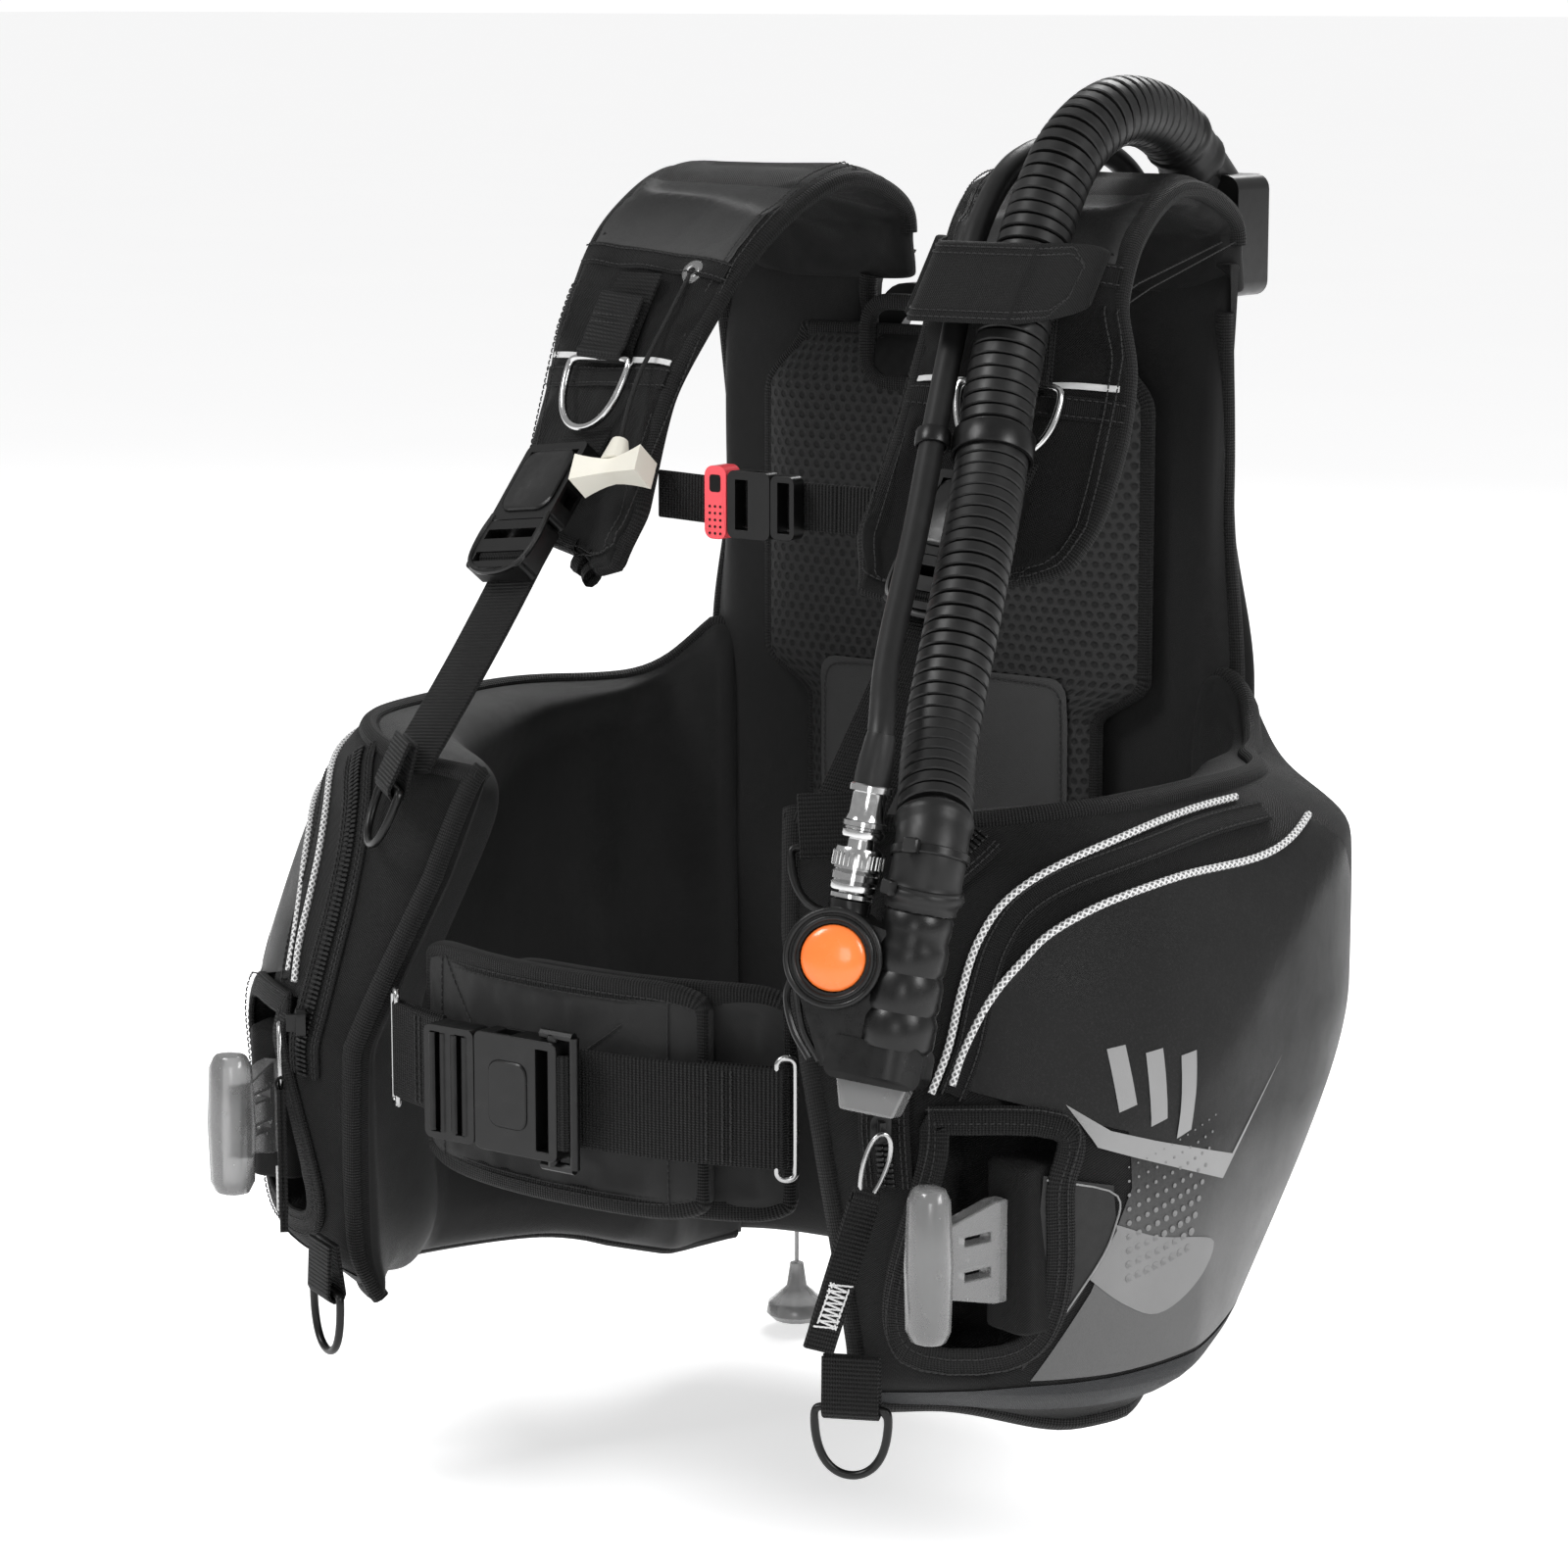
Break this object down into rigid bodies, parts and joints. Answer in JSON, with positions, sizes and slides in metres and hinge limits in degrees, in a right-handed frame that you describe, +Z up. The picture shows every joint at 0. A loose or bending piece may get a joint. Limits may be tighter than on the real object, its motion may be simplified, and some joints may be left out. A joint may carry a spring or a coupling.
{
  "type": "scuba buoyancy compensator vest",
  "caption": "Jacket-style diving vest that holds an air cylinder on its back and is inflated or vented through a hose at the left shoulder.",
  "frame": {"origin": "middle of the flat spine at the rear of the backplate, where the air cylinder rests", "axes": "+Z up, the wearer faces -Y, +X is the wearer's left"},
  "size_m": [0.6, 0.6084, 0.7294],
  "materials": {
    "nylon": "black coated nylon",
    "panel": "grey-faded black sheet, semi-gloss",
    "mesh": "black hexagonal spacer mesh",
    "padding": "dark grey smooth padding",
    "webbing": "black ribbed webbing",
    "black_plastic": "satin black",
    "hose_rubber": "satin black",
    "bright_metal": "polished",
    "orange_plastic": "glossy orange",
    "red_plastic": "coral red",
    "grey_plastic": "translucent silver grey",
    "cream_plastic": "cream white"
  },
  "bodies": {
    "vest": {"back_wing_r": "nylon", "lobe_r": "nylon", "shoulder_pad_r": "nylon", "pocket_r": "panel", "waist_ring_r": "bright_metal", "shoulder_buckle_socket_r": "black_plastic", "shoulder_web_r": "webbing", "shoulder_dump_cord": "webbing", "backplate": "black_plastic", "back_pad": "mesh", "tank_band": "webbing", "tank_buckle": "black_plastic", "back_wing_l": "nylon", "lobe_l": "nylon", "shoulder_pad_l": "nylon", "pocket_l": "panel", "cummerbund_r": "padding", "cummerbund_l": "padding", "waist_buckle_socket": "black_plastic", "waist_web_l": "webbing", "waist_web_r": "webbing", "waist_ring_l": "bright_metal", "chest_buckle_socket": "black_plastic", "chest_web_l": "webbing", "chest_web_r": "webbing", "shoulder_buckle_socket_l": "black_plastic", "shoulder_web_l": "webbing", "inflator_body": "black_plastic", "coupler_body": "bright_metal", "corrugated_hose": "hose_rubber", "hose_elbow": "black_plastic", "lp_hose": "hose_rubber", "lp_hose_fitting": "bright_metal", "hose_keeper": "webbing", "rear_valve": "black_plastic"},
    "inflate_button": {"inflate_button": "orange_plastic"},
    "deflate_button": {"deflate_button": "grey_plastic"},
    "coupler_sleeve": {"coupler_sleeve": "bright_metal"},
    "waist_release": {"waist_buckle_plug": "black_plastic"},
    "chest_release": {"chest_buckle_plug": "black_plastic"},
    "whistle": {"whistle": "red_plastic"},
    "shoulder_release_l": {"shoulder_buckle_plug_l": "black_plastic"},
    "weight_release_l": {"weight_pouch_l": "nylon", "weight_handle_l": "grey_plastic"},
    "zip_slider_l": {"zip_slider_l": "black_plastic"},
    "zip_pull_l": {"zip_pull_l": "webbing"},
    "shoulder_d_ring_l": {"shoulder_d_ring_l": "bright_metal"},
    "lobe_d_ring_l": {"lobe_d_ring_l": "black_plastic"},
    "hip_d_ring_l": {"hip_d_ring_l": "black_plastic"},
    "shoulder_release_r": {"shoulder_buckle_plug_r": "black_plastic"},
    "weight_release_r": {"weight_pouch_r": "nylon", "weight_handle_r": "grey_plastic"},
    "zip_slider_r": {"zip_slider_r": "black_plastic"},
    "zip_pull_r": {"zip_pull_r": "webbing"},
    "shoulder_d_ring_r": {"shoulder_d_ring_r": "bright_metal"},
    "lobe_d_ring_r": {"lobe_d_ring_r": "black_plastic"},
    "hip_d_ring_r": {"hip_d_ring_r": "black_plastic"},
    "shoulder_dump_pull": {"shoulder_dump_knob": "cream_plastic"},
    "rear_dump_pull": {"rear_dump_knob": "grey_plastic"},
    "cam_lever": {"tank_cam_lever": "black_plastic"}
  },
  "joints": [
    {"name": "inflate_button_slide", "type": "slide", "parent": "vest", "child": "inflate_button", "axis": [-0.3669, 0.9093, -0.1962], "range_m": [0, 0.003], "stiffness_N_per_m": 300},
    {"name": "deflate_button_slide", "type": "slide", "parent": "vest", "child": "deflate_button", "axis": [0.0534, 0.2312, 0.9714], "range_m": [0, 0.004], "stiffness_N_per_m": 300},
    {"name": "coupler_sleeve_slide", "type": "slide", "parent": "vest", "child": "coupler_sleeve", "axis": [0.0534, 0.2312, 0.9714], "range_m": [0, 0.004], "stiffness_N_per_m": 400},
    {"name": "waist_release_slide", "type": "slide", "parent": "vest", "child": "waist_release", "axis": [-1, 0, 0], "range_m": [0, 0.03]},
    {"name": "chest_release_slide", "type": "slide", "parent": "vest", "child": "chest_release", "axis": [1, 0, 0], "range_m": [0, 0.02]},
    {"name": "whistle_slide", "type": "slide", "parent": "vest", "child": "whistle", "axis": [1, 0, 0], "range_m": [-0.012, 0.001]},
    {"name": "shoulder_release_l_slide", "type": "slide", "parent": "vest", "child": "shoulder_release_l", "axis": [0.0266, -0.6691, -0.7427], "range_m": [0, 0.03]},
    {"name": "weight_release_l_slide", "type": "slide", "parent": "vest", "child": "weight_release_l", "axis": [-0.2588, -0.9659, 0], "range_m": [0, 0.15]},
    {"name": "zip_slider_l_slide", "type": "slide", "parent": "vest", "child": "zip_slider_l", "axis": [0.0443, 0.1555, 0.9868], "range_m": [0, 0.015]},
    {"name": "zip_pull_l_hinge", "type": "hinge", "parent": "zip_slider_l", "child": "zip_pull_l", "pos_m": [0.19151, -0.36374, -0.18], "axis": [-0.6583, -0.6937, 0.2924], "range_deg": [0, 68]},
    {"name": "shoulder_d_ring_l_hinge", "type": "hinge", "parent": "vest", "child": "shoulder_d_ring_l", "pos_m": [0.13031, -0.16849, 0.15504], "axis": [-0.9597, -0.2797, 0.0255], "range_deg": [0, 12]},
    {"name": "lobe_d_ring_l_hinge", "type": "hinge", "parent": "vest", "child": "lobe_d_ring_l", "pos_m": [0.13978, -0.33189, -0.054], "axis": [-0.7906, -0.6112, -0.0368], "range_deg": [0, 110]},
    {"name": "hip_d_ring_l_hinge", "type": "hinge", "parent": "vest", "child": "hip_d_ring_l", "pos_m": [0.168, -0.357, -0.32], "axis": [-0.9023, -0.4311, 0], "range_deg": [-25, 100]},
    {"name": "shoulder_release_r_slide", "type": "slide", "parent": "vest", "child": "shoulder_release_r", "axis": [-0.0266, -0.6691, -0.7427], "range_m": [0, 0.03]},
    {"name": "weight_release_r_slide", "type": "slide", "parent": "vest", "child": "weight_release_r", "axis": [0.2588, -0.9659, 0], "range_m": [0, 0.15]},
    {"name": "zip_slider_r_slide", "type": "slide", "parent": "vest", "child": "zip_slider_r", "axis": [-0.0443, 0.1555, 0.9868], "range_m": [0, 0.015]},
    {"name": "zip_pull_r_hinge", "type": "hinge", "parent": "zip_slider_r", "child": "zip_pull_r", "pos_m": [-0.19151, -0.36374, -0.18], "axis": [-0.6583, 0.6937, -0.2924], "range_deg": [0, 68]},
    {"name": "shoulder_d_ring_r_hinge", "type": "hinge", "parent": "vest", "child": "shoulder_d_ring_r", "pos_m": [-0.13031, -0.16849, 0.15504], "axis": [-0.9597, 0.2797, -0.0255], "range_deg": [0, 110]},
    {"name": "lobe_d_ring_r_hinge", "type": "hinge", "parent": "vest", "child": "lobe_d_ring_r", "pos_m": [-0.13978, -0.33189, -0.054], "axis": [-0.7906, 0.6112, 0.0368], "range_deg": [0, 110]},
    {"name": "hip_d_ring_r_hinge", "type": "hinge", "parent": "vest", "child": "hip_d_ring_r", "pos_m": [-0.168, -0.357, -0.32], "axis": [-0.9023, 0.4311, 0], "range_deg": [-25, 100]},
    {"name": "shoulder_dump_pull_slide", "type": "slide", "parent": "vest", "child": "shoulder_dump_pull", "axis": [0.2202, -0.615, -0.7571], "range_m": [0, 0.015], "stiffness_N_per_m": 150},
    {"name": "rear_dump_pull_slide", "type": "slide", "parent": "vest", "child": "rear_dump_pull", "axis": [0, 0, -1], "range_m": [0, 0.015], "stiffness_N_per_m": 150},
    {"name": "cam_lever_hinge", "type": "hinge", "parent": "vest", "child": "cam_lever", "pos_m": [-0.08382, 0.17083, -0.04], "axis": [0, 0, 1], "range_deg": [0, 110]}
  ]
}
